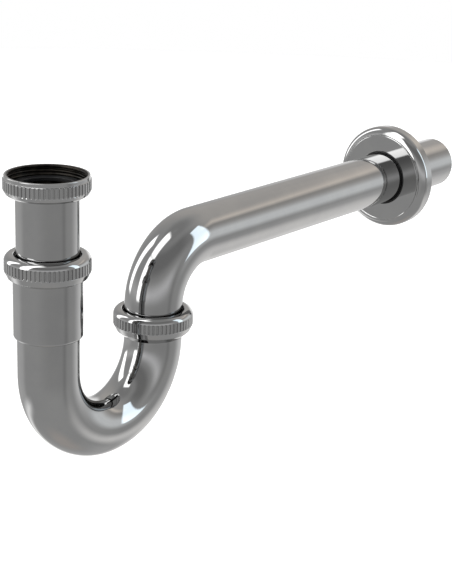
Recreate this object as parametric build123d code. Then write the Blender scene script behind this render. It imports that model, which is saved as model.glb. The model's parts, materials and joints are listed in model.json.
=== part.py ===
from build123d import *
import math
import os

# A washbasin P trap in chromed brass tube, in millimetres.
# The origin is the centre of the union nut's mouth. +Z is up the inlet leg, and +X runs along the
# wall tube towards the wall, so that every tube's centreline lies in the XZ plane.

# Tube and layout
TUBE_R = 16.0  # outside radius of every tube
TUBE_WALL = 1.0
BORE_R = TUBE_R - TUBE_WALL
LEG_SPACING = 80.0  # between the inlet leg's and the outlet leg's axes
U_RADIUS = LEG_SPACING / 2
U_CENTRE_Z = -105.2
ELBOW_RADIUS = 33.9
WALL_AXIS_Z = -54.7
ELBOW_END_X = LEG_SPACING + ELBOW_RADIUS
ELBOW_START_Z = WALL_AXIS_Z - ELBOW_RADIUS
WALL_PLANE_X = 311.8  # the finished wall that the escutcheon's rim rests on
TAIL_END_X = 365.0
END_CHAMFER = 0.4
BRAZE_GAP = 0.04  # between a tube and a ring brazed on it
MARK_WIDTH = 0.6
MARK_DEPTH = 0.2
MARGIN = 1.0  # how far a cutting shape reaches past what it cuts

# Knurled band of every nut
NUT_R = 22.0
FLUTES = 60
FLUTE_WIDTH = 1.0
FLUTE_DEPTH = 0.5

# Union nut, for a G 1 1/4 basin waste
G_CREST_R = 19.476  # the thread's crest line, as a plain bore
UNION_CHAMBER_R = 19.9  # room under the thread for the gasket and the collar
UNION_MOUTH_R = 20.25
UNION_RIM_R = 21.3
UNION_RIM_FOOT_R = 21.4
UNION_RIM_ROUND = 0.35
UNION_THREAD_TOP_Z = -0.45
UNION_RIM_Z = -1.9
UNION_BAND_TOP_Z = -2.2
UNION_THREAD_END_Z = -5.0
UNION_BAND_BOTTOM_Z = -7.1
UNION_BAND_ROUND = 1.5
UNION_FLOOR_Z = -9.2
UNION_SHOULDER_Z = -9.3
UNION_SHOULDER_R = 20.9
UNION_FOOT_Z = -10.4
UNION_FOOT_R = 19.4
UNION_BOTTOM_Z = -10.6
UNION_FACE_R = 17.6
UNION_HOLE_R = 16.25

# Slip nuts: both are the same nut, measured down from its top
NUT_HEIGHT = 11.8
NUT_DOME = 4.35  # radius of the rounded top edge
NUT_BAND_END = 9.6
NUT_FOOT_R = 20.5
NUT_HOLE_R = 16.9
NUT_HOLE_ROUND = 0.7
NUT_LIP = 1.8
INLET_NUT_TOP_Z = -40.5
OUTLET_NUT_TOP_Z = -89.0

# Slip nut thread, 38 mm with 1.5 mm pitch, as plain cylinders near its pitch line
PITCH = 1.5
MALE_THREAD_R = 18.5
NUT_THREAD_R = 18.6
MALE_RELIEF_R = 17.95
THREAD_CHAMFER = 0.5
SHOULDER_R = 20.4
SHOULDER_GAP = 0.12  # between a tight nut's foot and the shoulder under it

# Loose rings and seals
FREE_GAP = 0.05
SEAL_R = 16.08
RING_R = 18.0

# Heights of the stacks inside the nuts
UNION_WASHER_HEIGHT = 0.5
TAILPIECE_COLLAR_R = 19.1
TAILPIECE_COLLAR_HEIGHT = 1.2
INLET_GASKET_HEIGHT = 2.0
INLET_GASKET_R = 19.0
GASKET_BORE_R = 14.6
TAILPIECE_END_Z = -70.0
SLIP_RING_HEIGHT = 1.5
SLIP_RING_BORE_R = 16.2
SEAL_HEAD_HEIGHT = 1.4
SEAL_CONE_HEIGHT = 3.3
SEAL_SEAT_GAP = 0.1
SEAL_TIP = 0.22
SEAL_ROUND = 0.3
SOCKET_TOP_Z = -45.4
SOCKET_R = 17.75
SOCKET_CONE_END_Z = -53.9
SOCKET_BOTTOM_Z = -84.5
SOCKET_STOP_Z = -79.0
SOCKET_BORE_R = 16.25
SOCKET_SEAT_R = 17.3
SOCKET_SEAT_HEIGHT = 3.8
SOCKET_EDGE_ROUND = 1.4
OUTLET_WASHER_HEIGHT = 1.0
OUTLET_WASHER_BORE_R = 16.4
OUTLET_COLLAR_HEIGHT = 1.5
OUTLET_GASKET_HEIGHT = 2.0
FERRULE_CONE_END_Z = -104.1
FERRULE_CONE_END_R = 16.8
FERRULE_LEDGE = 2.5

# Escutcheon, a pressed brass cover on the wall tube
ESC_R = 32.76
ESC_SHEET = 1.0
ESC_FACE_X = 302.0
ESC_FLAT_R = 27.2
ESC_RIM_X = 306.3
ESC_EDGE_X = 305.2
ESC_EDGE_R = 32.2
ESC_HOLE_R = 17.3
ESC_HOLE_ROUND = 0.3
ESC_SHOULDER_ROUND = 3.0
ESC_EDGE_ROUND = 0.8
ESC_RING_R = 16.05
ESC_RING_FLANGE_R = 19.5
ESC_RING_DEPTH = 2.5
ESC_RING_RECESS = 0.3
ESC_RING_ROUND = 0.6


def turned(outline, rounds=None, axis=Axis.Z):
    """A solid turned about an axis. The outline is (x, z) points, and rounds gives a radius by point number."""
    face = make_face(Polyline(*outline, close=True))
    for number, radius in (rounds or {}).items():
        corner = face.vertices().sort_by_distance((*outline[number], 0))[0]
        face = fillet(corner, radius)
    return revolve(Plane.XZ * face, axis=axis)


def ring(inner_r, outer_r, low, high):
    """A plain ring about the Z axis."""
    return turned([(inner_r, low), (outer_r, low), (outer_r, high), (inner_r, high)])


def fluted_disc(low, high):
    """A disc wider than a nut, with the knurl's straight grooves cut into its edge."""
    slot = Rectangle(2 * (FLUTE_DEPTH + MARGIN), FLUTE_WIDTH)
    slots = PolarLocations(NUT_R + MARGIN, FLUTES) * slot
    return Pos(0, 0, low) * extrude(Circle(NUT_R + MARGIN / 2) - slots, high - low)


def bent_tube(path, start):
    """Tube of the common section swept along a path from a start plane."""
    section = start * (Circle(TUBE_R) - Circle(BORE_R))
    return sweep(section, path=path)


def union_nut():
    """Knurled nut that draws the tailpiece up to the basin waste."""
    body = turned(
        [
            (UNION_MOUTH_R, 0),
            (UNION_RIM_R, 0),
            (UNION_RIM_FOOT_R, UNION_RIM_Z),
            (NUT_R, UNION_BAND_TOP_Z),
            (NUT_R, UNION_BAND_BOTTOM_Z),
            (UNION_SHOULDER_R, UNION_SHOULDER_Z),
            (UNION_FOOT_R, UNION_FOOT_Z),
            (UNION_FACE_R, UNION_BOTTOM_Z),
            (UNION_HOLE_R, UNION_BOTTOM_Z),
            (UNION_HOLE_R, UNION_FLOOR_Z),
            (UNION_CHAMBER_R, UNION_FLOOR_Z),
            (UNION_CHAMBER_R, UNION_THREAD_END_Z),
            (G_CREST_R, UNION_THREAD_END_Z),
            (G_CREST_R, UNION_THREAD_TOP_Z),
        ],
        {1: UNION_RIM_ROUND, 5: UNION_BAND_ROUND},
    )
    return body & fluted_disc(UNION_BOTTOM_Z - MARGIN, MARGIN)


def union_washer():
    """Slip washer between the union nut's floor and the tailpiece's collar."""
    low = UNION_FLOOR_Z + FREE_GAP
    return ring(UNION_HOLE_R, TAILPIECE_COLLAR_R, low, low + UNION_WASHER_HEIGHT)


def tailpiece_top():
    """Height of the tailpiece's sealing end."""
    return UNION_FLOOR_Z + 2 * FREE_GAP + UNION_WASHER_HEIGHT + TAILPIECE_COLLAR_HEIGHT


def tailpiece():
    """Plain tube that drops from the basin waste into the socket."""
    top = tailpiece_top()
    return turned(
        [
            (BORE_R, TAILPIECE_END_Z),
            (TUBE_R - END_CHAMFER, TAILPIECE_END_Z),
            (TUBE_R, TAILPIECE_END_Z + END_CHAMFER),
            (TUBE_R, top),
            (BORE_R, top),
        ]
    )


def tailpiece_collar():
    """Collar brazed round the tailpiece's top end, which the union nut pulls on."""
    top = tailpiece_top()
    return ring(TUBE_R + BRAZE_GAP, TAILPIECE_COLLAR_R, top - TAILPIECE_COLLAR_HEIGHT, top)


def inlet_gasket():
    """Flat rubber gasket on the tailpiece's sealing end."""
    low = tailpiece_top() + FREE_GAP
    return ring(GASKET_BORE_R, INLET_GASKET_R, low, low + INLET_GASKET_HEIGHT)


def slip_nut():
    """Knurled nut with a rounded top and a hole for the tube, with the middle of its top at the origin."""
    foot = -NUT_HEIGHT
    body = turned(
        [
            (NUT_HOLE_R, 0),
            (NUT_R, 0),
            (NUT_R, -NUT_BAND_END),
            (NUT_FOOT_R, foot),
            (NUT_THREAD_R + THREAD_CHAMFER, foot),
            (NUT_THREAD_R, foot + THREAD_CHAMFER),
            (NUT_THREAD_R, -NUT_LIP),
            (NUT_HOLE_R, -NUT_LIP),
        ],
        {0: NUT_HOLE_ROUND, 1: NUT_DOME},
    )
    return body & fluted_disc(foot - MARGIN, MARGIN)


def inlet_slip_ring():
    """Plastic ring that the inlet slip nut presses on the cone seal."""
    top = INLET_NUT_TOP_Z - NUT_LIP - FREE_GAP
    return ring(SLIP_RING_BORE_R, RING_R, top - SLIP_RING_HEIGHT, top)


def inlet_cone_seal():
    """Rubber cone seal round the tailpiece, held in the socket's seat."""
    top = INLET_NUT_TOP_Z - NUT_LIP - 2 * FREE_GAP - SLIP_RING_HEIGHT
    head = top - SEAL_HEAD_HEIGHT
    return turned(
        [
            (SEAL_R, top),
            (RING_R, top),
            (RING_R, head),
            (SOCKET_SEAT_R - SEAL_SEAT_GAP, head),
            (SEAL_R + SEAL_TIP, head - SEAL_CONE_HEIGHT),
            (SEAL_R, head - SEAL_CONE_HEIGHT),
        ],
        {1: SEAL_ROUND, 2: SEAL_ROUND},
    )


def threaded_end(top, nut_top):
    """Outline of a brazed fitting's outside from its top end down to the shoulder under a tight nut."""
    shoulder = nut_top - NUT_HEIGHT - SHOULDER_GAP
    return [
        (MALE_THREAD_R - THREAD_CHAMFER, top),
        (MALE_THREAD_R, top - THREAD_CHAMFER),
        (MALE_THREAD_R, shoulder + PITCH),
        (MALE_RELIEF_R, shoulder + PITCH),
        (MALE_RELIEF_R, shoulder),
        (SHOULDER_R, shoulder),
    ]


def inlet_socket():
    """Sleeve brazed on the U-bend's inlet leg: a threaded mouth with a cone seat, and a deep bore."""
    return turned(
        [
            (SOCKET_SEAT_R, SOCKET_TOP_Z),
            *threaded_end(SOCKET_TOP_Z, INLET_NUT_TOP_Z),
            (SOCKET_R, SOCKET_CONE_END_Z),
            (SOCKET_R, SOCKET_BOTTOM_Z),
            (TUBE_R + BRAZE_GAP, SOCKET_BOTTOM_Z),
            (TUBE_R + BRAZE_GAP, SOCKET_STOP_Z),
            (SOCKET_BORE_R, SOCKET_STOP_Z),
            (SOCKET_BORE_R, SOCKET_TOP_Z - SOCKET_SEAT_HEIGHT),
        ],
        {8: SOCKET_EDGE_ROUND},
    )


def u_bend_tube():
    """Tube bent to a half circle, with a leg up to each fitting."""
    start = (0, 0, SOCKET_STOP_Z - FREE_GAP)
    bottom = (U_RADIUS, 0, U_CENTRE_Z - U_RADIUS)
    down = Line(start, (0, 0, U_CENTRE_Z))
    bend = ThreePointArc((0, 0, U_CENTRE_Z), bottom, (LEG_SPACING, 0, U_CENTRE_Z))
    up = Line((LEG_SPACING, 0, U_CENTRE_Z), (LEG_SPACING, 0, ferrule_top() - FERRULE_LEDGE))
    return bent_tube(down + bend + up, Plane(origin=start, z_dir=(0, 0, -1)))


def collar_top():
    """Top of the outlet tube's collar, under the washer and the outlet nut's lip."""
    return OUTLET_NUT_TOP_Z - NUT_LIP - 2 * FREE_GAP - OUTLET_WASHER_HEIGHT


def ferrule_top():
    """Top of the outlet ferrule, under the collar and the gasket."""
    return collar_top() - OUTLET_COLLAR_HEIGHT - 2 * FREE_GAP - OUTLET_GASKET_HEIGHT


def on_outlet_leg(shape):
    """A shape made about the Z axis, moved to the outlet leg."""
    return Pos(LEG_SPACING, 0, 0) * shape


def outlet_ferrule():
    """Threaded ferrule brazed on the U-bend's outlet leg, with a conical skirt."""
    top = ferrule_top()
    ledge = top - FERRULE_LEDGE + FREE_GAP
    body = turned(
        [
            (BORE_R, top),
            *threaded_end(top, OUTLET_NUT_TOP_Z),
            (FERRULE_CONE_END_R, FERRULE_CONE_END_Z),
            (TUBE_R + BRAZE_GAP, FERRULE_CONE_END_Z),
            (TUBE_R + BRAZE_GAP, ledge),
            (BORE_R, ledge),
        ]
    )
    return on_outlet_leg(body)


def outlet_gasket():
    """Flat rubber gasket on the ferrule, which the U-bend swivels under."""
    low = ferrule_top() + FREE_GAP
    return on_outlet_leg(ring(GASKET_BORE_R, RING_R, low, low + OUTLET_GASKET_HEIGHT))


def outlet_collar():
    """Collar brazed round the outlet tube's lower end."""
    top = collar_top()
    return on_outlet_leg(ring(TUBE_R + BRAZE_GAP, RING_R, top - OUTLET_COLLAR_HEIGHT, top))


def outlet_washer():
    """Slip washer between the outlet nut's lip and the collar."""
    top = OUTLET_NUT_TOP_Z - NUT_LIP - FREE_GAP
    return on_outlet_leg(ring(OUTLET_WASHER_BORE_R, RING_R, top - OUTLET_WASHER_HEIGHT, top))


def outlet_bend_tube():
    """Elbow and wall tube in one piece, with a shallow mark at the finished wall."""
    low = collar_top() - OUTLET_COLLAR_HEIGHT
    corner = ELBOW_RADIUS * (1 - math.cos(math.radians(45)))
    middle = (LEG_SPACING + corner, 0, WALL_AXIS_Z - corner)
    up = Line((LEG_SPACING, 0, low), (LEG_SPACING, 0, ELBOW_START_Z))
    bend = ThreePointArc((LEG_SPACING, 0, ELBOW_START_Z), middle, (ELBOW_END_X, 0, WALL_AXIS_Z))
    along = Line((ELBOW_END_X, 0, WALL_AXIS_Z), (TAIL_END_X, 0, WALL_AXIS_Z))
    tube = bent_tube(up + bend + along, Plane(origin=(LEG_SPACING, 0, low), z_dir=(0, 0, 1)))
    mark = turned(
        [
            (WALL_PLANE_X - MARK_WIDTH, TUBE_R - MARK_DEPTH),
            (WALL_PLANE_X, TUBE_R - MARK_DEPTH),
            (WALL_PLANE_X, TUBE_R + MARGIN),
            (WALL_PLANE_X - MARK_WIDTH, TUBE_R + MARGIN),
        ],
        axis=Axis.X,
    )
    end_bevel = turned(
        [
            (TAIL_END_X - END_CHAMFER, TUBE_R),
            (TAIL_END_X + MARGIN, TUBE_R - END_CHAMFER - MARGIN),
            (TAIL_END_X + MARGIN, TUBE_R + MARGIN),
            (TAIL_END_X - END_CHAMFER, TUBE_R + MARGIN),
        ],
        axis=Axis.X,
    )
    return tube - Pos(0, 0, WALL_AXIS_Z) * mark - Pos(0, 0, WALL_AXIS_Z) * end_bevel


def escutcheon():
    """Pressed cover with a flat face, a rounded shoulder and a straight rim, open at the back."""
    cover = turned(
        [
            (ESC_FACE_X, ESC_HOLE_R),
            (ESC_FACE_X, ESC_FLAT_R),
            (ESC_EDGE_X, ESC_EDGE_R),
            (ESC_RIM_X, ESC_R),
            (WALL_PLANE_X, ESC_R),
            (WALL_PLANE_X, ESC_R - ESC_SHEET),
            (ESC_RIM_X, ESC_R - ESC_SHEET),
            (ESC_FACE_X + ESC_SHEET, ESC_FLAT_R - ESC_SHEET / 2),
            (ESC_FACE_X + ESC_SHEET, ESC_HOLE_R),
        ],
        {0: ESC_HOLE_ROUND, 1: ESC_SHOULDER_ROUND, 2: ESC_EDGE_ROUND, 3: ESC_EDGE_ROUND},
        Axis.X,
    )
    return Pos(0, 0, WALL_AXIS_Z) * cover


def escutcheon_ring():
    """Rubber grommet in the escutcheon's hole, which grips the wall tube."""
    back = ESC_FACE_X + ESC_SHEET + FREE_GAP
    grommet = turned(
        [
            (ESC_FACE_X + ESC_RING_RECESS, ESC_RING_R),
            (ESC_FACE_X + ESC_RING_RECESS, ESC_HOLE_R - FREE_GAP),
            (back, ESC_HOLE_R - FREE_GAP),
            (back, ESC_RING_FLANGE_R),
            (back + ESC_RING_DEPTH, ESC_RING_FLANGE_R),
            (back + ESC_RING_DEPTH, ESC_RING_R),
        ],
        {4: ESC_RING_ROUND},
        Axis.X,
    )
    return Pos(0, 0, WALL_AXIS_Z) * grommet


NUT = slip_nut()
PARTS = {
    "union_nut": union_nut(),
    "union_washer": union_washer(),
    "inlet_gasket": inlet_gasket(),
    "tailpiece_collar": tailpiece_collar(),
    "tailpiece": tailpiece(),
    "inlet_slip_nut": Pos(0, 0, INLET_NUT_TOP_Z) * NUT,
    "inlet_slip_ring": inlet_slip_ring(),
    "inlet_cone_seal": inlet_cone_seal(),
    "inlet_socket": inlet_socket(),
    "u_bend_tube": u_bend_tube(),
    "outlet_ferrule": outlet_ferrule(),
    "outlet_gasket": outlet_gasket(),
    "outlet_collar": outlet_collar(),
    "outlet_washer": outlet_washer(),
    "outlet_nut": Pos(LEG_SPACING, 0, OUTLET_NUT_TOP_Z) * NUT,
    "outlet_bend_tube": outlet_bend_tube(),
    "escutcheon": escutcheon(),
    "escutcheon_ring": escutcheon_ring(),
}

os.makedirs("parts", exist_ok=True)
for name, shape in PARTS.items():
    export_step(shape, f"parts/{name}.step")
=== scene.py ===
import json
import math

import bmesh
import bpy
import numpy as np
from mathutils import Matrix, Vector


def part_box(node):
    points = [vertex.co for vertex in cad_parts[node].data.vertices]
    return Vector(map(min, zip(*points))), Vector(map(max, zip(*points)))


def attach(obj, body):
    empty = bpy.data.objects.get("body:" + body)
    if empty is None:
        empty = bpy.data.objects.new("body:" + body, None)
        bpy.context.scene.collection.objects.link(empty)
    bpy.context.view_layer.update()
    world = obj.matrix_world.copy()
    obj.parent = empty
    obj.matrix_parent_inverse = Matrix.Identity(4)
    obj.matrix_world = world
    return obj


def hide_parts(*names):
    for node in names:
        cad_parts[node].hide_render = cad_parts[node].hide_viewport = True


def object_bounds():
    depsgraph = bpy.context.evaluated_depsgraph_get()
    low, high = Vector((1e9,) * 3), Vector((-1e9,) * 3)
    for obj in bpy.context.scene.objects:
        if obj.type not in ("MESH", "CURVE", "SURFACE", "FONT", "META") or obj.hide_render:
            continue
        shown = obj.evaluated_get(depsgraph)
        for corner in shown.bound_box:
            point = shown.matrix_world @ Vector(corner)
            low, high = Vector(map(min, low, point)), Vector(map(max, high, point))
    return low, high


# A chromed washbasin P trap, in metres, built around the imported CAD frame.
# +Z is up the inlet leg, +X runs along the wall tube towards the wall, and every tube's
# centreline lies in the XZ plane.

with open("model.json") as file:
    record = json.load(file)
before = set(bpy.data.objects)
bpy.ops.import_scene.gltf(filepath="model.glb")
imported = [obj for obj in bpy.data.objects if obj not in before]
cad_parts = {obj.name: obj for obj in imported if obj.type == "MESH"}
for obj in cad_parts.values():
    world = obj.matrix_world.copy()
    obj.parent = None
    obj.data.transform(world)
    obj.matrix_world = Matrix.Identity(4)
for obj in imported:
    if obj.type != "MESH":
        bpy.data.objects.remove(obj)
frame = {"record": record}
cad_low, cad_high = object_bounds()

MM = 0.001
TAU = 2 * math.pi
UP = Vector((0, 0, 1))
BODIES = frame["record"]["behaviour"]["bodies"]
BODY_OF = {node: body for body, nodes in BODIES.items() for node in nodes}

# ---------------------------------------------------------------- sizes

# Layout, from the frame
TUBE_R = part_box("tailpiece")[1].x
OUTLET_X = (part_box("outlet_nut")[0].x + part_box("outlet_nut")[1].x) / 2
WALL_AXIS_Z = (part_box("escutcheon")[0].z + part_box("escutcheon")[1].z) / 2
U_RADIUS = OUTLET_X / 2
U_CENTRE_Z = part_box("u_bend_tube")[0].z + TUBE_R + U_RADIUS
TAIL_END_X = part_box("outlet_bend_tube")[1].x
WALL_PLANE_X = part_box("escutcheon")[1].x

# Tubes
TUBE_WALL = 1.0 * MM
BORE_R = TUBE_R - TUBE_WALL
ELBOW_RADIUS = 33.9 * MM
TUBE_END_ROUND = 0.4 * MM
BRAZED_R = TUBE_R + 0.04 * MM  # bore of a ring that is brazed on a tube
MARK_WIDTH = 0.6 * MM
MARK_DEPTH = 0.2 * MM
TUBE_GAP = 0.05 * MM  # between a brazed tube's end and the stop in its fitting
EDGE = 0.12 * MM  # how far a sharp edge is broken
MARK_EDGE = EDGE / 3

# Knurl of every nut
NUT_R = 22.0 * MM
FLUTES = 60
FLUTE_FLOOR_R = NUT_R - 0.6 * MM
FLUTE_FLOOR_HALF = 0.42 * MM
FLUTE_MOUTH_HALF = 0.54 * MM
FLUTE_RISE = 0.9 * MM
FLUTE_BLEND = 0.05 * MM  # how softly the knurl's edges are rounded
FLUTE_END = 0.3 * MM  # length over which a groove runs out
FLUTE_COLUMNS = (0.25 * MM, 0.41 * MM, 0.455 * MM, 0.51 * MM, 0.66 * MM)  # each side of a groove's middle

# Slip nuts, measured down from the top
SLIP_HOLE_R = 16.9 * MM
SLIP_HOLE_ROUND = 1.0 * MM
SLIP_DOME_ROUND = 3.5 * MM
SLIP_BAND_END = 8.6 * MM
SLIP_FLUTES = (3.3 * MM, 8.3 * MM)
SLIP_BAND_ROUND = 1.2 * MM
SLIP_FOOT_R = 20.5 * MM
SLIP_LIP = 1.8 * MM
SLIP_CHAMFER = 0.7 * MM

# Slip nut thread
SLIP_PITCH = 1.5 * MM
MALE_CREST_R = 19.0 * MM
MALE_ROOT_R = 18.1 * MM
MALE_CREST_HALF = 0.15 * MM
MALE_BASE_HALF = 0.67 * MM
MALE_CHAMFER = 1.0 * MM
MALE_RUN_OUT = 0.6 * MM  # length over which a male thread falls away into its relief
FEMALE_CREST_R = 18.4 * MM
FEMALE_ROOT_R = 19.15 * MM
FEMALE_MOUTH_HALF = 0.66 * MM
FEMALE_FLOOR_HALF = 0.23 * MM
RELIEF_R = 17.95 * MM
RELIEF_LENGTH = 1.5 * MM
SHOULDER_R = 20.4 * MM
SHOULDER_GAP = 0.12 * MM

# Union nut, measured down from its mouth
UNION_MOUTH_R = 20.25 * MM
UNION_RIM_R = 21.3 * MM
UNION_RIM_FOOT_R = 21.4 * MM
UNION_RIM_ROUND = 0.35 * MM
UNION_RIM_HEIGHT = 1.9 * MM
UNION_BAND_TOP = 2.2 * MM
UNION_BAND_BOTTOM = 7.1 * MM
UNION_BAND_ROUND = 1.5 * MM
UNION_FLUTES = (2.2 * MM, 7.6 * MM)
UNION_SHOULDER = 9.3 * MM
UNION_SHOULDER_R = 20.9 * MM
UNION_SHOULDER_ROUND = 0.8 * MM
UNION_FOOT = 10.4 * MM
UNION_FOOT_R = 19.4 * MM
UNION_FACE_R = 17.6 * MM
UNION_HOLE_R = 16.25 * MM
UNION_FLOOR = 9.2 * MM
UNION_CHAMBER_R = 19.9 * MM
UNION_THREAD_START = 0.45 * MM
UNION_THREAD_END = 5.0 * MM
UNION_PITCH = 2.309 * MM
UNION_CREST_R = 19.476 * MM
UNION_ROOT_R = 20.6 * MM
UNION_MOUTH_HALF = 0.85 * MM
UNION_FLOOR_HALF = 0.12 * MM
RUN_OUT = 0.6  # turns over which a female thread's groove runs out

# Fittings brazed on the U-bend
SOCKET_R = 17.75 * MM
SOCKET_CONE_END_Z = -53.9 * MM
SOCKET_EDGE_ROUND = 1.4 * MM
SOCKET_STOP_HEIGHT = 5.5 * MM
SOCKET_BORE_R = 16.25 * MM
SOCKET_SEAT_R = 17.3 * MM
SOCKET_SEAT_HEIGHT = 3.8 * MM
FERRULE_CONE_END_R = 16.8 * MM
FERRULE_LEDGE = 2.45 * MM

# Rings and seals
GASKET_BORE_R = 14.6 * MM
GASKET_ROUND = 0.35 * MM
SLIP_RING_BORE_R = 16.2 * MM
OUTLET_WASHER_BORE_R = 16.4 * MM
SEAL_BORE_R = 16.08 * MM
SEAL_HEAD_HEIGHT = 1.4 * MM
SEAL_SHOULDER_R = 17.2 * MM
SEAL_TIP_R = 16.3 * MM
SEAL_ROUND = 0.3 * MM

# Escutcheon, measured from its face towards the wall
ESC_SHEET = 1.0 * MM
ESC_HOLE_R = 17.3 * MM
ESC_HOLE_ROUND = 0.3 * MM
ESC_FLAT_R = 27.2 * MM
ESC_CREASE_WIDTH = 0.3 * MM
ESC_CREASE_DEPTH = 0.2 * MM
ESC_CREASE_ROUND = 0.15 * MM
ESC_BEAD_DEPTH = 0.02 * MM
ESC_SHOULDER_ROUND = 4.9 * MM
RING_BORE_R = 16.05 * MM
RING_NECK_R = 17.25 * MM
RING_NECK_END = 1.05 * MM
RING_ROUND = 0.6 * MM

# Mesh density
SUPPORT = 0.15 * MM  # distance of the extra row that keeps a flat face flat beside a round
SUPPORT_ROOM = 3 * SUPPORT  # a flat face shorter than this gets no extra row
FLAT_TURN = math.radians(1)  # a corner that turns less than this isn't rounded
SIDE_SHARE = 0.999  # how much of a side the rounds at its two ends may take
ARC_DEGREES = 5.0
ARC_LEAST_STEPS = 3
SMALL_ARC_SHARE = 0.3  # share of the steps that a round keeps as its radius goes to nothing
BEND_DEGREES = 1.5
STRAIGHT_STEP = 8.0 * MM
SKIN_STEP = 0.3 * MM
THREAD_ROWS = 8  # rows for each turn of a thread
TUBE_COLUMNS = 160
RING_COLUMNS = 192
ESC_COLUMNS = 320


# ---------------------------------------------------------------- outlines
# An outline is the closed cross-section of a turned or swept piece. Each corner is
# (radius, place along the axis, round, tag), and the tag names the stretch after the corner.


def corner_arc(before, corner, after, rounds):
    """The points that round a corner, with a support point past each end where there is room.

    The rounds are those of the corner before, this corner and the one after, which share each side.
    """
    start = before - corner
    end = after - corner
    turn = math.pi - start.angle(end)
    if turn < FLAT_TURN:
        return [corner]
    radius = rounds[1]
    start_room = SIDE_SHARE * start.length * radius / (radius + rounds[0])
    end_room = SIDE_SHARE * end.length * radius / (radius + rounds[2])
    reach = min(radius * math.tan(turn / 2), start_room, end_room)
    radius = reach / math.tan(turn / 2)
    middle = (start.normalized() + end.normalized()).normalized()
    centre = corner + middle * (radius / math.cos(turn / 2))
    spoke = corner + start.normalized() * reach - centre
    last = corner + end.normalized() * reach - centre
    sign = 1 if spoke.x * last.y - spoke.y * last.x > 0 else -1
    fineness = min(1, SMALL_ARC_SHARE + radius / MM)
    steps = max(ARC_LEAST_STEPS, math.ceil(math.degrees(turn) / ARC_DEGREES * fineness))
    points = []
    if start.length - reach > SUPPORT_ROOM:
        points.append(corner + start.normalized() * (reach + SUPPORT))
    for step in range(steps + 1):
        angle = sign * turn * step / steps
        cos, sin = math.cos(angle), math.sin(angle)
        points.append(centre + Vector((spoke.x * cos - spoke.y * sin, spoke.x * sin + spoke.y * cos)))
    if end.length - reach > SUPPORT_ROOM:
        points.append(corner + end.normalized() * (reach + SUPPORT))
    return points


def rounded(corners):
    """An outline's points as (radius, along, tag), with every corner rounded."""
    points = []
    for number, (radius, along, round_r, tag) in enumerate(corners):
        before = corners[number - 1]
        after = corners[(number + 1) % len(corners)]
        rounds = (before[2], round_r, after[2])
        arc = corner_arc(Vector(before[:2]), Vector((radius, along)), Vector(after[:2]), rounds)
        for step, point in enumerate(arc):
            own = before[3] if step < len(arc) // 2 else tag
            points.append((point.x, point.y, own))
    return points


def divided(points, spacing, cuts=()):
    """Adds rows: each stretch of a tag in spacing is cut at that distance, and every long one at the cuts."""
    result = []
    for (r0, s0, tag), (r1, s1, _) in zip(points, points[1:] + points[:1]):
        length = math.hypot(r1 - r0, s1 - s0)
        count = max(1, math.ceil(length / spacing[tag])) if tag in spacing else 1
        shares = {step / count for step in range(count)}
        if abs(s1 - s0) > STRAIGHT_STEP:
            shares |= {(cut - s0) / (s1 - s0) for cut in cuts if min(s0, s1) < cut < max(s0, s1)}
        for share in sorted(shares):
            result.append((r0 + (r1 - r0) * share, s0 + (s1 - s0) * share, tag))
    return result


# ---------------------------------------------------------------- paths
# A path turns places along it into centres and the two directions across it.


def straight(origin, along, side):
    """A straight path from an origin, for pieces turned about it."""
    origin, along, side = np.array(origin), np.array(along, float), np.array(side, float)
    up = np.cross(along, side)

    def at(places):
        centres = origin + np.outer(places, along)
        return centres, np.tile(side, (len(places), 1)), np.tile(up, (len(places), 1))

    return at


def bent(start, heading, runs):
    """A path in the XZ plane. A run is (length, curvature), and the heading is an angle from +X to +Z."""

    def one(place):
        x, z, angle = *start, heading
        for number, (length, curvature) in enumerate(runs, 1):
            step = place if number == len(runs) else min(place, length)
            turned = angle + curvature * step
            if curvature:
                x += (math.sin(turned) - math.sin(angle)) / curvature
                z -= (math.cos(turned) - math.cos(angle)) / curvature
            else:
                x += step * math.cos(angle)
                z += step * math.sin(angle)
            angle = turned
            place -= step
            if place <= 0:
                break
        return (x, 0, z), (-math.sin(angle), 0, math.cos(angle)), (0, -1, 0)

    def at(places):
        found = [one(place) for place in places]
        return tuple(np.array(column, float) for column in zip(*found))

    return at


def bend_cuts(runs):
    """Where a bent tube gets its rows: close together round a bend, far apart along a straight."""
    cuts = []
    place = 0.0
    for length, curvature in runs:
        step = math.radians(BEND_DEGREES) / abs(curvature) if curvature else STRAIGHT_STEP
        count = math.ceil(length / step)
        cuts += [place + length * number / count for number in range(count)]
        place += length
    return cuts


# ---------------------------------------------------------------- shapes laid over an outline


def soft_min(a, b, softness):
    """The smaller of two heights, with the change between them rounded."""
    return 0.5 * (a + b - np.sqrt((a - b) ** 2 + softness**2))


def fluted(radii, places, angles, tags, first, last):
    """Cuts the knurl's grooves into the rows tagged skin, from a first to a last place on the axis."""
    pitch = TAU / FLUTES
    beside = np.abs((angles + pitch / 2) % pitch - pitch / 2) * NUT_R
    share = np.clip((beside - FLUTE_FLOOR_HALF) / (FLUTE_MOUTH_HALF - FLUTE_FLOOR_HALF), 0, 1)
    past = np.clip(np.maximum(first - places, places - last) / FLUTE_END, 0, 1)
    groove = FLUTE_FLOOR_R + FLUTE_RISE * (share[None, :] + past[:, None])
    rows = tags == "skin"
    radii[rows] = soft_min(radii, groove, FLUTE_BLEND)[rows]
    return radii


def helix_offset(places, angles, pitch, origin):
    """Distance along the axis from each grid point to the nearest turn of a right-hand helix."""
    turns = (places[:, None] - origin) / pitch - angles[None, :] / TAU
    return np.abs((turns + 0.5) % 1 - 0.5) * pitch


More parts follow.
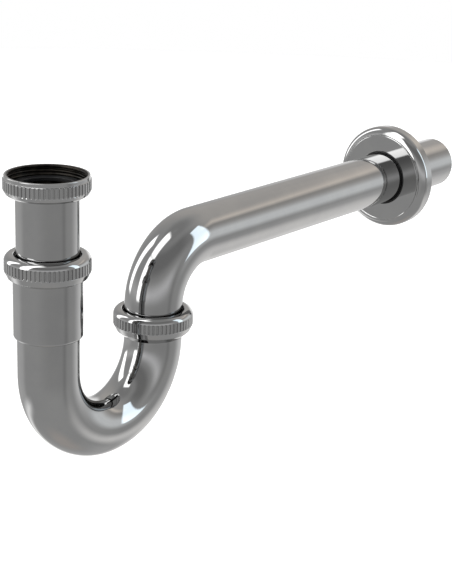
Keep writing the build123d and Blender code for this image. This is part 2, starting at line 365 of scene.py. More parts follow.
def ridged(radii, places, angles, tags, origin):
    """Cuts a male thread into the rows tagged thread."""
    offset = helix_offset(places, angles, SLIP_PITCH, origin)
    share = np.clip((MALE_BASE_HALF - offset) / (MALE_BASE_HALF - MALE_CREST_HALF), 0, 1)
    ridge = MALE_ROOT_R + (MALE_CREST_R - MALE_ROOT_R) * share
    rows = tags == "thread"
    radii[rows] = np.minimum(radii, ridge)[rows]
    return radii


def grooved(radii, places, angles, tags, origin, pitch, crest_r, root_r, mouth_half, floor_half, stops):
    """Cuts a female thread into the rows tagged thread, with its groove running out at each stop."""
    offset = helix_offset(places, angles, pitch, origin)
    share = np.clip((mouth_half - offset) / (mouth_half - floor_half), 0, 1)
    for stop in stops:
        share = share * np.clip(np.abs(places - stop) / (RUN_OUT * pitch), 0, 1)[:, None]
    rows = tags == "thread"
    radii[rows] = np.maximum(radii, crest_r + (root_r - crest_r) * share)[rows]
    return radii


# ---------------------------------------------------------------- pieces


def even_columns(count):
    """Evenly spaced angles round a piece."""
    return np.arange(count) * TAU / count


def flute_columns():
    """Angles that follow the knurl, closer together at the edges of its grooves."""
    sides = [0.0] + [side * place for place in FLUTE_COLUMNS for side in (-1, 1)]
    beside = sorted(place / NUT_R for place in sides)
    pitch = TAU / FLUTES
    angles = [flute * pitch + place for flute in range(FLUTES) for place in [*beside, pitch / 2]]
    return np.array(angles)


def swept_mesh(name, points, path, angles, shape):
    """A closed grid mesh: an outline swept round an axis, with a shape laid over it."""
    radii = np.repeat(np.array([point[0] for point in points])[:, None], len(angles), axis=1)
    places = np.array([point[1] for point in points])
    tags = np.array([point[2] for point in points])
    if shape:
        radii = shape(radii, places, angles, tags)
    centres, sides, ups = path(places)
    spokes = np.cos(angles)[None, :, None] * sides[:, None] + np.sin(angles)[None, :, None] * ups[:, None]
    vertices = (centres[:, None] + radii[:, :, None] * spokes).reshape(-1, 3)
    rows, columns = len(points), len(angles)
    row, column = np.meshgrid(np.arange(rows), np.arange(columns), indexing="ij")
    below, beside = (row + 1) % rows, (column + 1) % columns
    quads = np.stack(
        [row * columns + column, below * columns + column, below * columns + beside, row * columns + beside],
        axis=-1,
    ).reshape(-1, 4)
    corners = vertices[quads]
    volume = np.einsum("ij,ij->", corners[:, 0], np.cross(corners[:, 1], corners[:, 2]))
    volume += np.einsum("ij,ij->", corners[:, 0], np.cross(corners[:, 2], corners[:, 3]))
    if volume < 0:
        quads = quads[:, ::-1]
    mesh = bpy.data.meshes.new(name)
    mesh.from_pydata(vertices.tolist(), [], quads.tolist())
    return mesh, np.repeat(tags, columns)


def add_piece(node, points, path, angles, finishes, shape=None):
    """Builds a piece that stands for a CAD node, and gives it to the node's body."""
    mesh, face_tags = swept_mesh(node + "_mesh", points, path, angles, shape)
    names = list(dict.fromkeys(finishes.values()))
    for finish in names:
        mesh.materials.append(MATERIALS[finish])
    indices = [names.index(finishes.get(tag, finishes["skin"])) for tag in face_tags]
    mesh.polygons.foreach_set("material_index", indices)
    mesh.shade_smooth()
    mesh.validate()
    piece = bpy.data.objects.new(node + "_mesh", mesh)
    bpy.context.scene.collection.objects.link(piece)
    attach(piece, BODY_OF[node])
    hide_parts(node)


INLET = straight((0, 0, 0), (0, 0, 1), (1, 0, 0))
OUTLET = straight((OUTLET_X, 0, 0), (0, 0, 1), (1, 0, 0))
WALL = straight((0, 0, WALL_AXIS_Z), (1, 0, 0), (0, 1, 0))
PLATED = {"skin": "chrome", "bore": "bare_brass"}
PLATED_NUT = {**PLATED, "foot": "chrome", "thread": "bare_brass"}
PLATED_FITTING = {**PLATED, "thread": "chrome"}


def ends(node):
    """Lowest and highest place of a node on the vertical axes."""
    low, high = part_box(node)
    return low.z, high.z


def plain_ring(node, path, inner_r, outer_r, finish, edge=EDGE):
    """A ring of rectangular section with broken edges."""
    low, high = ends(node)
    corners = [
        (inner_r, low, edge, "skin"),
        (outer_r, low, edge, "skin"),
        (outer_r, high, edge, "skin"),
        (inner_r, high, edge, "skin"),
    ]
    add_piece(node, rounded(corners), path, even_columns(RING_COLUMNS), {"skin": finish})


def tailpiece():
    """Plain tube from the union nut down into the socket."""
    low, high = ends("tailpiece")
    corners = [
        (BORE_R, low, TUBE_END_ROUND / 2, "skin"),
        (TUBE_R, low, TUBE_END_ROUND, "skin"),
        (TUBE_R, high, EDGE, "skin"),
        (BORE_R, high, EDGE, "bore"),
    ]
    points = divided(rounded(corners), {"skin": STRAIGHT_STEP, "bore": STRAIGHT_STEP})
    add_piece("tailpiece", points, INLET, even_columns(TUBE_COLUMNS), PLATED)


def bent_tube(node, start, heading, runs, mark=None):
    """Tube of the common section along a bent path, with an insertion mark where one is given."""
    length = sum(run[0] for run in runs)
    corners = [
        (BORE_R, 0, EDGE, "skin"),
        (TUBE_R, 0, EDGE, "skin"),
    ]
    if mark:
        floor = TUBE_R - MARK_DEPTH
        corners += [
            (TUBE_R, mark - MARK_WIDTH, MARK_EDGE, "skin"),
            (floor, mark - MARK_WIDTH, MARK_EDGE, "skin"),
            (floor, mark, MARK_EDGE, "skin"),
            (TUBE_R, mark, MARK_EDGE, "skin"),
        ]
    corners += [
        (TUBE_R, length, TUBE_END_ROUND, "skin"),
        (BORE_R, length, TUBE_END_ROUND / 2, "bore"),
    ]
    points = divided(rounded(corners), {}, bend_cuts(runs))
    add_piece(node, points, bent(start, heading, runs), even_columns(TUBE_COLUMNS), PLATED)


def u_bend_tube():
    """Half circle of tube with a short leg up to each fitting."""
    top = ends("inlet_socket")[0] + SOCKET_STOP_HEIGHT - TUBE_GAP
    outlet_top = ends("outlet_ferrule")[1] - FERRULE_LEDGE - TUBE_GAP
    runs = [
        (top - U_CENTRE_Z, 0),
        (math.pi * U_RADIUS, 1 / U_RADIUS),
        (outlet_top - U_CENTRE_Z, 0),
    ]
    bent_tube("u_bend_tube", (0, top), -math.pi / 2, runs)


def outlet_bend_tube():
    """Elbow and wall tube in one piece, marked where it enters the wall."""
    low = ends("outlet_collar")[0]
    elbow_start = WALL_AXIS_Z - ELBOW_RADIUS
    elbow_end = OUTLET_X + ELBOW_RADIUS
    runs = [
        (elbow_start - low, 0),
        (math.pi / 2 * ELBOW_RADIUS, -1 / ELBOW_RADIUS),
        (TAIL_END_X - elbow_end, 0),
    ]
    mark = runs[0][0] + runs[1][0] + WALL_PLANE_X - elbow_end
    bent_tube("outlet_bend_tube", (OUTLET_X, low), math.pi / 2, runs, mark)


def slip_nut(node, path):
    """Knurled nut with a rounded top, threaded inside."""
    foot, top = ends(node)
    corners = [
        (SLIP_HOLE_R, top, SLIP_HOLE_ROUND, "skin"),
        (NUT_R, top, SLIP_DOME_ROUND, "skin"),
        (NUT_R, top - SLIP_BAND_END, SLIP_BAND_ROUND, "skin"),
        (SLIP_FOOT_R, foot, EDGE, "foot"),
        (FEMALE_CREST_R + SLIP_CHAMFER, foot, EDGE, "thread"),
        (FEMALE_CREST_R, foot + SLIP_CHAMFER, EDGE, "thread"),
        (FEMALE_CREST_R, top - SLIP_LIP, EDGE, "bore"),
        (SLIP_HOLE_R, top - SLIP_LIP, EDGE, "skin"),
    ]
    points = divided(rounded(corners), {"skin": SKIN_STEP, "thread": SLIP_PITCH / THREAD_ROWS})

    def shape(radii, places, angles, tags):
        radii = fluted(radii, places, angles, tags, top - SLIP_FLUTES[1], top - SLIP_FLUTES[0])
        return grooved(
            radii, places, angles, tags, foot, SLIP_PITCH,
            FEMALE_CREST_R, FEMALE_ROOT_R, FEMALE_MOUTH_HALF, FEMALE_FLOOR_HALF, [top - SLIP_LIP],
        )

    add_piece(node, points, path, flute_columns(), PLATED_NUT, shape)


def union_nut():
    """Knurled nut with a narrow rim, open at the top for the basin waste."""
    low, top = ends("union_nut")
    corners = [
        (UNION_MOUTH_R, top, EDGE, "skin"),
        (UNION_RIM_R, top, UNION_RIM_ROUND, "skin"),
        (UNION_RIM_FOOT_R, top - UNION_RIM_HEIGHT, EDGE, "skin"),
        (NUT_R, top - UNION_BAND_TOP, EDGE, "skin"),
        (NUT_R, top - UNION_BAND_BOTTOM, UNION_BAND_ROUND, "skin"),
        (UNION_SHOULDER_R, top - UNION_SHOULDER, UNION_SHOULDER_ROUND, "skin"),
        (UNION_FOOT_R, top - UNION_FOOT, EDGE, "foot"),
        (UNION_FACE_R, low, EDGE, "foot"),
        (UNION_HOLE_R, low, EDGE, "bore"),
        (UNION_HOLE_R, top - UNION_FLOOR, EDGE, "bore"),
        (UNION_CHAMBER_R, top - UNION_FLOOR, EDGE, "bore"),
        (UNION_CHAMBER_R, top - UNION_THREAD_END, EDGE, "bore"),
        (UNION_CREST_R, top - UNION_THREAD_END, EDGE, "thread"),
        (UNION_CREST_R, top - UNION_THREAD_START, EDGE, "thread"),
    ]
    points = divided(rounded(corners), {"skin": SKIN_STEP, "thread": UNION_PITCH / (2 * THREAD_ROWS)})

    def shape(radii, places, angles, tags):
        radii = fluted(radii, places, angles, tags, top - UNION_FLUTES[1], top - UNION_FLUTES[0])
        return grooved(
            radii, places, angles, tags, top, UNION_PITCH,
            UNION_CREST_R, UNION_ROOT_R, UNION_MOUTH_HALF, UNION_FLOOR_HALF, [top, top - UNION_THREAD_END],
        )

    add_piece("union_nut", points, INLET, flute_columns(), PLATED_NUT, shape)


def threaded_end(top, nut_foot):
    """Corners of a fitting's outside, from its threaded top end down to the shoulder under a tight nut."""
    shoulder = nut_foot - SHOULDER_GAP
    return [
        (MALE_CREST_R - MALE_CHAMFER, top, EDGE, "thread"),
        (MALE_CREST_R, top - MALE_CHAMFER, EDGE, "thread"),
        (MALE_CREST_R, shoulder + RELIEF_LENGTH + MALE_RUN_OUT, EDGE, "thread"),
        (RELIEF_R, shoulder + RELIEF_LENGTH, EDGE, "skin"),
        (RELIEF_R, shoulder, EDGE, "skin"),
        (SHOULDER_R, shoulder, EDGE, "skin"),
    ]


def threaded_piece(node, path, corners, nut_foot):
    """A turned fitting with a male thread that meets the nut whose foot is given."""
    points = divided(rounded(corners), {"thread": SLIP_PITCH / THREAD_ROWS})

    def shape(radii, places, angles, tags):
        return ridged(radii, places, angles, tags, nut_foot)

    add_piece(node, points, path, even_columns(RING_COLUMNS), PLATED_FITTING, shape)


def inlet_socket():
    """Deep sleeve on the U-bend's inlet leg, with a cone seat in its mouth."""
    low, top = ends("inlet_socket")
    nut_foot = ends("inlet_slip_nut")[0]
    stop = low + SOCKET_STOP_HEIGHT
    corners = [
        (SOCKET_SEAT_R, top, EDGE, "skin"),
        *threaded_end(top, nut_foot),
        (SOCKET_R, SOCKET_CONE_END_Z, SUPPORT, "skin"),
        (SOCKET_R, low, SOCKET_EDGE_ROUND, "skin"),
        (BRAZED_R, low, EDGE, "bore"),
        (BRAZED_R, stop, EDGE, "bore"),
        (SOCKET_BORE_R, stop, EDGE, "bore"),
        (SOCKET_BORE_R, top - SOCKET_SEAT_HEIGHT, EDGE, "bore"),
    ]
    threaded_piece("inlet_socket", INLET, corners, nut_foot)


def outlet_ferrule():
    """Threaded ferrule on the U-bend's outlet leg, with a conical skirt."""
    low, top = ends("outlet_ferrule")
    nut_foot = ends("outlet_nut")[0]
    ledge = top - FERRULE_LEDGE
    corners = [
        (BORE_R, top, EDGE, "skin"),
        *threaded_end(top, nut_foot),
        (FERRULE_CONE_END_R, low, SUPPORT, "skin"),
        (BRAZED_R, low, EDGE, "bore"),
        (BRAZED_R, ledge, EDGE, "bore"),
        (BORE_R, ledge, EDGE, "bore"),
    ]
    threaded_piece("outlet_ferrule", OUTLET, corners, nut_foot)


def inlet_cone_seal():
    """Rubber seal with a flat head and a tapered foot."""
    low, top = ends("inlet_cone_seal")
    head_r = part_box("inlet_cone_seal")[1].x
    head = top - SEAL_HEAD_HEIGHT
    corners = [
        (SEAL_BORE_R, top, EDGE, "skin"),
        (head_r, top, SEAL_ROUND, "skin"),
        (head_r, head, SEAL_ROUND, "skin"),
        (SEAL_SHOULDER_R, head, EDGE, "skin"),
        (SEAL_TIP_R, low, EDGE / 2, "skin"),
        (SEAL_BORE_R, low, EDGE / 2, "skin"),
    ]
    add_piece("inlet_cone_seal", rounded(corners), INLET, even_columns(RING_COLUMNS), {"skin": "rubber"})


def escutcheon():
    """Pressed cover: a flat face, a crease, a rounded shoulder and a straight rim, open at the back."""
    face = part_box("escutcheon")[0].x
    outer_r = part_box("escutcheon")[1].y
    inside_round = ESC_SHOULDER_ROUND - ESC_SHEET
    corners = [
        (ESC_HOLE_R, face, ESC_HOLE_ROUND, "skin"),
        (ESC_FLAT_R, face, ESC_CREASE_ROUND, "skin"),
        (ESC_FLAT_R + ESC_CREASE_WIDTH, face + ESC_CREASE_DEPTH, ESC_CREASE_ROUND, "skin"),
        (ESC_FLAT_R + 2 * ESC_CREASE_WIDTH, face + ESC_BEAD_DEPTH, ESC_CREASE_ROUND, "skin"),
        (outer_r, face + ESC_BEAD_DEPTH, ESC_SHOULDER_ROUND, "skin"),
        (outer_r, WALL_PLANE_X, EDGE, "skin"),
        (outer_r - ESC_SHEET, WALL_PLANE_X, EDGE, "skin"),
        (outer_r - ESC_SHEET, face + ESC_SHEET, inside_round, "skin"),
        (ESC_HOLE_R, face + ESC_SHEET, EDGE, "skin"),
    ]
    add_piece("escutcheon", rounded(corners), WALL, even_columns(ESC_COLUMNS), {"skin": "chrome"})


def escutcheon_ring():
    """Rubber grommet between the escutcheon and the wall tube, with a flange behind the face."""
    front, back = (corner.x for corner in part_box("escutcheon_ring"))
    neck_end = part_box("escutcheon")[0].x + RING_NECK_END
    flange_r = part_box("escutcheon_ring")[1].y
    corners = [
        (RING_BORE_R, front, GASKET_ROUND, "skin"),
        (RING_NECK_R, front, GASKET_ROUND, "skin"),
        (RING_NECK_R, neck_end, EDGE, "skin"),
        (flange_r, neck_end, GASKET_ROUND, "skin"),
        (flange_r, back, RING_ROUND, "skin"),
        (RING_BORE_R, back, GASKET_ROUND, "skin"),
    ]
    add_piece("escutcheon_ring", rounded(corners), WALL, even_columns(RING_COLUMNS), {"skin": "rubber"})


# ---------------------------------------------------------------- materials
# A pair of tones or of roughnesses is what a material varies between.

OPENNESS_SAMPLES = 8
OPENNESS_RANGE = (0.28, 0.65)  # open shares of the sky that count as full grime and painted shade, and as clean and unshaded
WHITE = (1, 1, 1, 1)
BLACK = (0, 0, 0, 1)

# Ranges of the noise over which a tone or a roughness changes
TONE_PATCHES = (0.35, 0.7)
ROUGH_PATCHES = (0.3, 0.7)
HAZE_PATCHES = (0.3, 0.75)
BLOOM_PATCHES = (0.4, 0.75)
SCRATCH_PEAKS = (0.62, 0.8)

CHROME_TONES = ((0.490, 0.490, 0.490, 1), (0.515, 0.515, 0.510, 1))
CHROME_ROUGHNESS = (0.03, 0.055)
# Grime and painted shade: the colour that chrome darkens to in grooves and in gaps between parts.
CHROME_SHADE_AND_GRIME = (0.03, 0.03, 0.03, 1)
CHROME_SHADE_AND_GRIME_REACH = 1.2 * MM  # how near a surface must be to another for grime and painted shade to gather
GRIME_ROUGHNESS = 0.25  # added to the chrome's own
SCRATCH_ROUGHNESS = 0.03  # added to the chrome's own
SCRATCH_DEPTH = 0.004 * MM

# The brass tones are partly dark oxide and partly painted shade for the hollow insides.
BRASS_OXIDE_AND_SHADE_TONES = ((0.025, 0.024, 0.022, 1), (0.07, 0.062, 0.052, 1))
BRASS_ROUGHNESS = (0.28, 0.5)
BRASS_PITTING = 0.03 * MM

RUBBER_TONES = ((0.010, 0.010, 0.011, 1), (0.022, 0.022, 0.022, 1))
RUBBER_ROUGHNESS = (0.5, 0.65)
RUBBER_GRAIN = 0.03 * MM

PLASTIC_TONES = ((0.78, 0.78, 0.73, 1), (0.86, 0.86, 0.83, 1))
PLASTIC_ROUGHNESS = (0.35, 0.5)
# Grime and painted shade: the colour that the washers darken to where they lie close to other parts.
PLASTIC_SHADE_AND_GRIME = (0.02, 0.02, 0.02, 1)
PLASTIC_SHADE_AND_GRIME_REACH = 2.0 * MM
PLASTIC_GLOW = 0.15
PLASTIC_GLOW_DEPTH = (2.0 * MM, 2.0 * MM, 1.8 * MM)
PLASTIC_WAVES = 0.04 * MM


class Nodes:
    """Short calls that build a node tree."""

    def __init__(self, owner):
        owner.use_nodes = True
        self.owner = owner
        self.tree = owner.node_tree

    def feed(self, socket, value):
        """Links another node's output to a socket, or sets the socket to a constant."""
        if isinstance(value, bpy.types.NodeSocket):
            self.tree.links.new(value, socket)
        else:
            socket.default_value = value

    def add(self, kind, inputs=None, **settings):
        """Adds a node with its settings made and its inputs fed."""
        node = self.tree.nodes.new(kind)
        for key, value in settings.items():
            setattr(node, key, value)
        for key, value in (inputs or {}).items():
            self.feed(node.inputs[key], value)
        return node

    def span(self, value, low, high, to_low=0.0, to_high=1.0):
        """Maps a value's range to another, with a smooth change."""
        settings = {"Value": value, "From Min": low, "From Max": high, "To Min": to_low, "To Max": to_high}
        return self.add("ShaderNodeMapRange", settings, interpolation_type="SMOOTHSTEP").outputs["Result"]

    def math(self, operation, *values):
        """One step of arithmetic on numbers."""
        node = self.add("ShaderNodeMath", dict(enumerate(values)), operation=operation)
        return node.outputs["Value"]

    def mix(self, share, first, second):
        """The first colour where the share is 0, and the second where it is 1."""
        inputs = {"Factor": share, "A": first, "B": second}
        return self.add("ShaderNodeMix", inputs, data_type="RGBA").outputs["Result"]


class Finish(Nodes):
    """The node tree of one material."""

    def __init__(self, name):
        super().__init__(bpy.data.materials.new(name))
        self.shader = self.tree.nodes["Principled BSDF"]
        self.place = self.add("ShaderNodeTexCoord").outputs["Object"]

    def noise(self, scale, detail, roughness):
        """Noise laid on the object, with a scale in cells for each metre."""
        settings = {"Vector": self.place, "Scale": scale, "Detail": detail, "Roughness": roughness}
        return self.add("ShaderNodeTexNoise", settings).outputs["Fac"]

    def openness(self, distance):
        """1 in the open, and 0 deep in a groove or corner, where grime gathers and shade is painted."""
        node = self.add("ShaderNodeAmbientOcclusion", {"Distance": distance}, samples=OPENNESS_SAMPLES)
        return self.span(node.outputs["AO"], *OPENNESS_RANGE)

    def bump(self, height, distance):
        """A surface that rises by a distance where the height is 1."""
        return self.add("ShaderNodeBump", {"Height": height, "Distance": distance}).outputs["Normal"]

    def drive(self, **sockets):
        """Links or sets the shader's sockets, named with underscores for spaces."""
        for key, value in sockets.items():
            self.feed(self.shader.inputs[key.replace("_", " ")], value)


def chrome():
    """Polished chrome plate: a faint haze in patches, fine polishing scratches, and grime with painted shade
    in its grooves and gaps.
    """
    nodes = Finish("polished_chrome")
    haze = nodes.noise(scale=60.0, detail=4.0, roughness=0.6)
    scratch = nodes.noise(scale=900.0, detail=2.0, roughness=0.7)
    # Ambient occlusion darkens the base colour towards grime and painted shade where surfaces lie close
    # together.
    clean_and_unshaded = nodes.openness(CHROME_SHADE_AND_GRIME_REACH)
    tone = nodes.mix(nodes.span(haze, *TONE_PATCHES), *CHROME_TONES)
    hazy = nodes.span(haze, *HAZE_PATCHES, *CHROME_ROUGHNESS)
    scratched = nodes.span(scratch, *SCRATCH_PEAKS, 0.0, SCRATCH_ROUGHNESS)
    grimy = nodes.span(clean_and_unshaded, 0.0, 1.0, GRIME_ROUGHNESS, 0.0)
    nodes.drive(
        Base_Color=nodes.mix(clean_and_unshaded, CHROME_SHADE_AND_GRIME, tone),
        Metallic=1.0,
        Roughness=nodes.math("ADD", nodes.math("ADD", hazy, scratched), grimy),
        Normal=nodes.bump(scratch, SCRATCH_DEPTH),
    )
    return nodes.owner


def bare_brass():
    """Unplated inside of a tube or nut, dark with oxide and old water, and darkened further with painted
    shade in the bores.
    """
    nodes = Finish("bare_brass")
    stain = nodes.noise(scale=180.0, detail=5.0, roughness=0.65)
    # The very dark base colour stands partly for oxide and partly for painted shade.
    nodes.drive(
        Base_Color=nodes.mix(nodes.span(stain, *TONE_PATCHES), *BRASS_OXIDE_AND_SHADE_TONES),
        Metallic=1.0,
        Roughness=nodes.span(stain, *ROUGH_PATCHES, *BRASS_ROUGHNESS),
        Normal=nodes.bump(stain, BRASS_PITTING),
    )
    return nodes.owner


def rubber():
    """Black moulded rubber, matt, with a fine grain."""
    nodes = Finish("black_rubber")
    grain = nodes.noise(scale=1500.0, detail=3.0, roughness=0.6)
    bloom = nodes.noise(scale=120.0, detail=4.0, roughness=0.6)
    nodes.drive(
        Base_Color=nodes.mix(nodes.span(bloom, *BLOOM_PATCHES), *RUBBER_TONES),
        Roughness=nodes.span(bloom, *ROUGH_PATCHES, *RUBBER_ROUGHNESS),
        Normal=nodes.bump(grain, RUBBER_GRAIN),
    )
    return nodes.owner


def plastic():
    """Natural polyethylene of the washers, slightly waxy and uneven."""
    nodes = Finish("waxy_plastic")
    cloud = nodes.noise(scale=150.0, detail=4.0, roughness=0.55)
    tone = nodes.mix(nodes.span(cloud, *TONE_PATCHES), *PLASTIC_TONES)
    # Ambient occlusion darkens the washers' base colour with grime and painted shade near other surfaces.
    nodes.drive(
        Base_Color=nodes.mix(nodes.openness(PLASTIC_SHADE_AND_GRIME_REACH), PLASTIC_SHADE_AND_GRIME, tone),
        Roughness=nodes.span(cloud, *ROUGH_PATCHES, *PLASTIC_ROUGHNESS),
        Subsurface_Weight=PLASTIC_GLOW,
        Subsurface_Radius=PLASTIC_GLOW_DEPTH,
        Normal=nodes.bump(cloud, PLASTIC_WAVES),
    )
    return nodes.owner


MATERIALS = {"chrome": chrome(), "bare_brass": bare_brass(), "rubber": rubber(), "plastic": plastic()}

# ---------------------------------------------------------------- camera

# Fitted to the straight edges of the photograph's tubes
CAMERA_PLACE = (-501.96 * MM, -513.28 * MM, 178.63 * MM)
CAMERA_YAW = 0.6716  # radians, from +X towards +Y
CAMERA_PITCH = 0.3209  # radians, downwards
CAMERA_ROLL = 0.0315  # radians
CAMERA_LENS = 92.1  # Blender's lens and sensor are in millimetres
SENSOR = 36.0
CLIP_START = 10 * MM
CLIP_END = 50.0


def add_camera():
    """The camera at the photograph's viewing angle."""
    yaw, pitch, roll = CAMERA_YAW, CAMERA_PITCH, CAMERA_ROLL
    forward = Vector((math.cos(yaw) * math.cos(pitch), math.sin(yaw) * math.cos(pitch), -math.sin(pitch)))
    level = forward.cross(UP).normalized()
    upright = level.cross(forward)
    right = level * math.cos(roll) + upright * math.sin(roll)
    up = upright * math.cos(roll) - level * math.sin(roll)
    data = bpy.data.cameras.new("camera")
    data.lens = CAMERA_LENS
    data.sensor_width = SENSOR
    data.clip_start = CLIP_START
    data.clip_end = CLIP_END
    camera = bpy.data.objects.new("camera", data)
    bpy.context.scene.collection.objects.link(camera)
    turned = Matrix((right, up, -forward)).transposed().to_4x4()
    camera.matrix_world = Matrix.Translation(CAMERA_PLACE) @ turned
    bpy.context.scene.camera = camera


add_camera()

# ---------------------------------------------------------------- the trap, from the basin to the wall

union_nut()
plain_ring("inlet_gasket", INLET, GASKET_BORE_R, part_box("inlet_gasket")[1].x, "rubber", GASKET_ROUND)
plain_ring("tailpiece_collar", INLET, BRAZED_R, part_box("tailpiece_collar")[1].x, "chrome")
plain_ring("union_washer", INLET, UNION_HOLE_R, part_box("union_washer")[1].x, "plastic")
tailpiece()
slip_nut("inlet_slip_nut", INLET)
plain_ring("inlet_slip_ring", INLET, SLIP_RING_BORE_R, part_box("inlet_slip_ring")[1].x, "plastic")
inlet_cone_seal()
inlet_socket()
u_bend_tube()
outlet_ferrule()
plain_ring("outlet_gasket", OUTLET, GASKET_BORE_R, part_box("outlet_gasket")[1].y, "rubber", GASKET_ROUND)
plain_ring("outlet_collar", OUTLET, BRAZED_R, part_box("outlet_collar")[1].y, "chrome")
plain_ring("outlet_washer", OUTLET, OUTLET_WASHER_BORE_R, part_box("outlet_washer")[1].y, "plastic")
slip_nut("outlet_nut", OUTLET)
outlet_bend_tube()
escutcheon()
escutcheon_ring()

# ---------------------------------------------------------------- studio
# The light is painted on the world. Azimuth runs from +X towards +Y and elevation upwards, in
# degrees, and a colour is added to what lies under it, so a flag that takes light away is negative.

HALF_TURN = 180.0
STUDIO_STRENGTH = 1.14
DEEP_STRENGTH = 0.08  # the studio's strength in deep reflections, which keeps hollows dark
DEEP_REFLECTIONS = (2.0, 3.0)  # counts of reflections over which the studio falls to that strength
WALL_SIDE = (0.0, 0.5)  # the X of a direction, over which it comes to count as towards the wall
WALL_SIDE_COUNT = 0.6  # how many reflections more the light from there is counted as
ROOM = (0.37, 0.37, 0.37)
# Softboxes that face the trap: azimuth, elevation, half width, half height, soft edge, colour
SOFTBOXES = {
    "window": (-54, 23, 7.8, 25, 1.5, (1.1, 1.3, 1.45)),
    "strip": (105.5, 22, 8, 26.5, 3, (2.2, 2.2, 2.2)),
    "bank": (162, 21, 13, 25, 3, (2.2, 2.2, 2.2)),
    "overhead": (160, 65, 10, 17, 3.5, (2.2, 2.2, 2.2)),
}
# Cards, walls and bounced light: azimuth, half width, soft edge, elevation, half height, soft edge, colour
CARDS = {
    "side_flag": (-130, 65, 25, 42, 18, 12, (-0.16, -0.16, -0.16)),
    "low_flag": (-110, 45, 30, -18, 8, 10, (-0.06, -0.06, -0.06)),
    "corner_flag": (-74, 6, 8, -14, 20, 10, (-0.07, -0.07, -0.07)),
    "far_window": (-130, 45, 14, 4, 7, 8, (0.25, 0.25, 0.26)),
    "door": (-28, 26, 12, 4, 11, 8, (0.40, 0.42, 0.43)),
    "lintel": (-24, 26, 12, 26, 2, 5, (-0.11, -0.11, -0.11)),
    "card": (24, 12, 8, 0, 12, 8, (0.72, 0.72, 0.72)),
    "warm_wall": (-18, 24, 14, 33, 3, 4, (0.30, 0.25, 0.20)),
    "ceiling": (12, 50, 30, 36, 20, 14, (0.14, 0.12, 0.10)),
    "ceiling_flag": (0, 180, 1, 80, 12, 10, (-0.09, -0.09, -0.09)),
    "table": (0, 60, 24, -37, 8, 8, (0.42, 0.41, 0.40)),
    "table_edge": (20, 45, 20, -20, 8, 8, (0.35, 0.35, 0.35)),
    "stand": (52, 9, 6, -26, 20, 8, (0.42, 0.42, 0.42)),
    "side_table": (95, 40, 20, -41, 4, 6, (0.70, 0.70, 0.70)),
    "side_wall": (140, 50, 20, 2, 6, 10, (0.20, 0.20, 0.20)),
    "side_glow": (102, 22, 12, -25, 14, 10, (0.13, 0.13, 0.13)),
    "warm_floor": (0, 180, 1, -85, 10, 12, (0.08, 0.05, 0.03)),
    "floor_glow": (20, 55, 30, -58, 10, 12, (0.10, 0.10, 0.10)),
}
FLOOR_DROP = 750 * MM  # far enough below the trap for a view from underneath
STAGE_R = 6.0
FLOOR_SEGMENTS = 128
BACKDROP_SEGMENTS = 64
FLOOR_PATCHES = (0.3, 0.7)
FLOOR_TONES = ((0.80, 0.80, 0.79, 1), (0.84, 0.84, 0.83, 1))
FLOOR_ROUGHNESS = 0.9
FLOOR_GLOW = 0.68  # the floor's own light, as on a product table lit from below


class Studio(Nodes):
    """The world's node tree: shapes of light laid on a plain room."""

    def __init__(self, room):
        super().__init__(bpy.data.worlds.new("studio"))
        self.toward = self.add("ShaderNodeTexCoord").outputs["Generated"]
        axes = self.add("ShaderNodeSeparateXYZ", {"Vector": self.toward}).outputs
        self.wall_side = self.span(axes["X"], *WALL_SIDE, to_high=WALL_SIDE_COUNT)
        self.azimuth = self.math("DEGREES", self.math("ARCTAN2", axes["Y"], axes["X"]))
        self.elevation = self.math("DEGREES", self.math("ARCSINE", axes["Z"]))
        self.light = room

    def vector(self, operation, inputs):
        """One step of arithmetic on directions or colours."""
        return self.add("ShaderNodeVectorMath", inputs, operation=operation).outputs

    def within(self, angle, half, soft):
        """1 inside a half width, and 0 outside it, with a soft edge."""
        return self.span(self.math("ABSOLUTE", angle), half + soft, half - soft)

    def shine(self, across, upright, colour):
        """Adds a colour to the light where both shares are 1."""
        share = self.math("MULTIPLY", across, upright)
        glow = self.vector("SCALE", {0: colour, "Scale": share})["Vector"]
        self.light = self.vector("ADD", {0: self.light, 1: glow})["Vector"]

    def softbox(self, azimuth, elevation, half_width, half_height, soft, colour):
        """A rectangle that faces the trap."""
        level, tilt = math.radians(azimuth), math.radians(elevation)
        forward = Vector((math.cos(tilt) * math.cos(level), math.cos(tilt) * math.sin(level), math.sin(tilt)))
        right = forward.cross(UP).normalized()
        ahead = self.vector("DOT_PRODUCT", {0: self.toward, 1: forward})["Value"]
        shares = []
        for side, half in ((right, half_width), (right.cross(forward), half_height)):
            beside = self.vector("DOT_PRODUCT", {0: self.toward, 1: side})["Value"]
            angle = self.math("DEGREES", self.math("ARCTAN2", beside, ahead))
            shares.append(self.within(angle, half, soft))
        self.shine(*shares, colour)

    def card(self, azimuth, half_width, soft_side, elevation, half_height, soft_end, colour):
        """A soft patch of wall, ceiling or floor."""
        turned = self.math("WRAP", self.math("SUBTRACT", self.azimuth, azimuth), HALF_TURN, -HALF_TURN)
        across = self.within(turned, half_width, soft_side)
        upright = self.within(self.math("SUBTRACT", self.elevation, elevation), half_height, soft_end)
        self.shine(across, upright, colour)


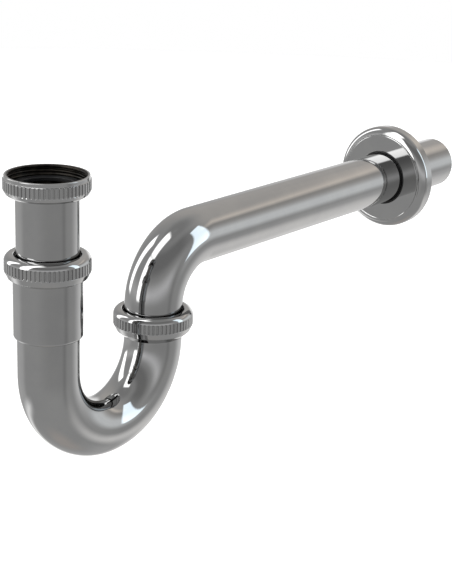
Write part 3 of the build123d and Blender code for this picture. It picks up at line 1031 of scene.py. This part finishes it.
def add_world():
    """Studio light: three upright softboxes, one overhead, and the room's own bounced light."""
    studio = Studio(ROOM)
    for softbox in SOFTBOXES.values():
        studio.softbox(*softbox)
    for card in CARDS.values():
        studio.card(*card)
    depth = studio.add("ShaderNodeLightPath").outputs["Glossy Depth"]
    reflections = studio.math("ADD", depth, studio.wall_side)
    background = studio.tree.nodes["Background"].inputs
    strength = studio.span(reflections, *DEEP_REFLECTIONS, STUDIO_STRENGTH, DEEP_STRENGTH)
    studio.feed(background["Strength"], strength)
    studio.feed(background["Color"], studio.light)
    bpy.context.scene.world = studio.owner


def stage_object(name, finish, shape, height):
    """Puts a shape on the stage, where no reflection and no bounced light sees it."""
    mesh = bpy.data.meshes.new(name)
    shape.to_mesh(mesh)
    shape.free()
    mesh.materials.append(finish)
    mesh.shade_smooth()
    stage = bpy.data.objects.new(name, mesh)
    stage.location.z = height
    stage.visible_glossy = False
    stage.visible_diffuse = False
    bpy.context.scene.collection.objects.link(stage)
    return stage


def pale_floor():
    """Pale matt floor that glows a little."""
    nodes = Finish("pale_floor")
    mottle = nodes.noise(scale=3.0, detail=3.0, roughness=0.5)
    nodes.drive(
        Base_Color=nodes.mix(nodes.span(mottle, *FLOOR_PATCHES), *FLOOR_TONES),
        Roughness=FLOOR_ROUGHNESS,
        Specular_IOR_Level=0.0,
        Emission_Color=WHITE,
        Emission_Strength=FLOOR_GLOW,
    )
    return nodes.owner


def white_backdrop():
    """Evenly lit white paper."""
    nodes = Finish("white_backdrop")
    nodes.drive(
        Base_Color=BLACK,
        Specular_IOR_Level=0.0,
        Emission_Color=WHITE,
        Emission_Strength=1.0,
    )
    return nodes.owner


def add_stage():
    """A pale floor below the trap, and a white backdrop all round."""
    disc = bmesh.new()
    bmesh.ops.create_circle(disc, cap_ends=True, segments=FLOOR_SEGMENTS, radius=STAGE_R)
    stage_object("floor", pale_floor(), disc, cad_low[2] - FLOOR_DROP)
    dome = bmesh.new()
    segments = {"u_segments": BACKDROP_SEGMENTS, "v_segments": BACKDROP_SEGMENTS // 2}
    bmesh.ops.create_uvsphere(dome, radius=STAGE_R, **segments)
    backdrop = stage_object("backdrop", white_backdrop(), dome, 0)
    backdrop.visible_shadow = False
    backdrop.visible_transmission = False


add_world()
add_stage()
bpy.context.scene.view_settings.view_transform = "Standard"
